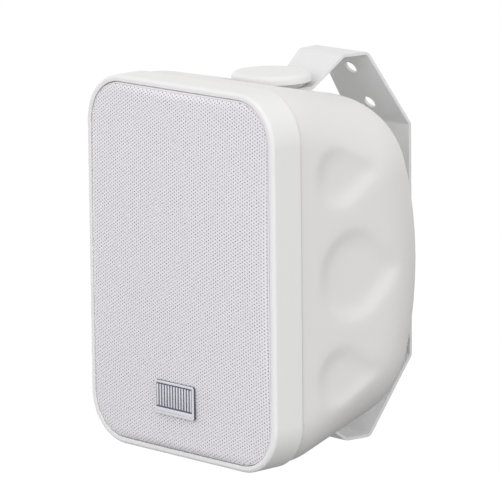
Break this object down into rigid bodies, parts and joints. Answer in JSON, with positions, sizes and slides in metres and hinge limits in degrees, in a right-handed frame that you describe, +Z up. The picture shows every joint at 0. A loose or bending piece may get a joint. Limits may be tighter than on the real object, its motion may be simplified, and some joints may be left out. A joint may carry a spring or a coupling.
{
  "type": "wall speaker",
  "caption": "White two-way wall speaker with a domed perforated grille, a D-shaped cabinet with hollowed sides and a bent U bracket that it swivels in.",
  "frame": {"origin": "centre of the wall hole pattern, on the wall face of the bracket strap", "axes": "+Z up, front faces -Y, +Y runs into the wall, X to the right seen from the front"},
  "size_m": [0.156, 0.1666, 0.228],
  "materials": {
    "white_plastic": "fine satin moulded surface",
    "bracket_paint": "satin white powder coat",
    "grille_paint": "satin white paint on perforated steel",
    "black_cloth": "thin acoustic cloth",
    "plate_plastic": "pale border with a dark field",
    "black_rubber": "matt",
    "brass": "turned",
    "plated_steel": "zinc plated",
    "black_steel": "black paint",
    "cone_paper": "pressed pulp",
    "spider_cloth": "impregnated weave",
    "copper": "lacquered wire",
    "ferrite": "sintered",
    "black_plastic": "moulded",
    "dome_cloth": "coated weave",
    "board_green": "resist on laminate",
    "capacitor_sleeve": "shrink sleeve",
    "white_ceramic": "cement filled",
    "core_steel": "stacked sheets",
    "winding_tape": "insulating tape",
    "red_plastic": "moulded"
  },
  "bodies": {
    "bracket": {"wall_bracket": "bracket_paint"},
    "speaker": {"rear_cabinet": "white_plastic", "front_baffle": "white_plastic", "seam_seal": "black_rubber", "grille": "grille_paint", "grille_cloth": "black_cloth", "nameplate": "plate_plastic", "pivot_washers": "black_rubber", "pivot_inserts": "brass", "terminal_panel": "black_plastic", "terminal_block": "black_plastic", "woofer_basket": "black_steel", "woofer_gasket": "black_rubber", "woofer_surround": "black_rubber", "woofer_spider": "spider_cloth", "woofer_front_plate": "plated_steel", "woofer_magnet": "ferrite", "woofer_yoke": "plated_steel", "tweeter_faceplate": "black_plastic", "tweeter_dome": "dome_cloth", "tweeter_motor": "black_steel", "crossover_board": "board_green", "crossover_coil": "copper", "crossover_capacitor": "capacitor_sleeve", "crossover_resistor": "white_ceramic", "transformer_core": "core_steel", "transformer_winding": "winding_tape", "tap_switch": "black_plastic"},
    "upper_knob": {"top_knob": "white_plastic", "top_stud": "plated_steel"},
    "lower_knob": {"bottom_knob": "white_plastic", "bottom_stud": "plated_steel"},
    "cone": {"woofer_cone": "cone_paper", "dust_cap": "cone_paper", "voice_coil": "copper"},
    "red_lever_body": {"red_lever": "red_plastic"},
    "black_lever_body": {"black_lever": "black_plastic"},
    "tap": {"tap_knob": "black_plastic"}
  },
  "joints": [
    {"name": "speaker_swivel", "type": "hinge", "parent": "bracket", "child": "speaker", "pos_m": [0, -0.088, 0], "axis": [0, 0, 1], "range_deg": [-60, 60]},
    {"name": "top_knob_turn", "type": "hinge", "parent": "speaker", "child": "upper_knob", "pos_m": [0, -0.088, 0.0975], "axis": [0, 0, 1], "range_deg": [0, 360]},
    {"name": "bottom_knob_turn", "type": "hinge", "parent": "speaker", "child": "lower_knob", "pos_m": [0, -0.088, -0.0975], "axis": [0, 0, -1], "range_deg": [0, 360]},
    {"name": "cone_travel", "type": "slide", "parent": "speaker", "child": "cone", "axis": [0, -1, 0], "range_m": [-0.0025, 0.0025], "stiffness_N_per_m": 1500, "deforming": ["woofer_surround", "woofer_spider"]},
    {"name": "red_lever_press", "type": "hinge", "parent": "speaker", "child": "red_lever_body", "pos_m": [-0.0215, -0.0275, -0.0244], "axis": [-1, 0, 0], "range_deg": [0, 12], "stiffness_Nm_per_rad": 0.05},
    {"name": "black_lever_press", "type": "hinge", "parent": "speaker", "child": "black_lever_body", "pos_m": [-0.0085, -0.0275, -0.0244], "axis": [-1, 0, 0], "range_deg": [0, 12], "stiffness_Nm_per_rad": 0.05},
    {"name": "tap_turn", "type": "hinge", "parent": "speaker", "child": "tap", "pos_m": [0.018, -0.0345, -0.034], "axis": [0, 1, 0], "range_deg": [-75, 75]}
  ]
}
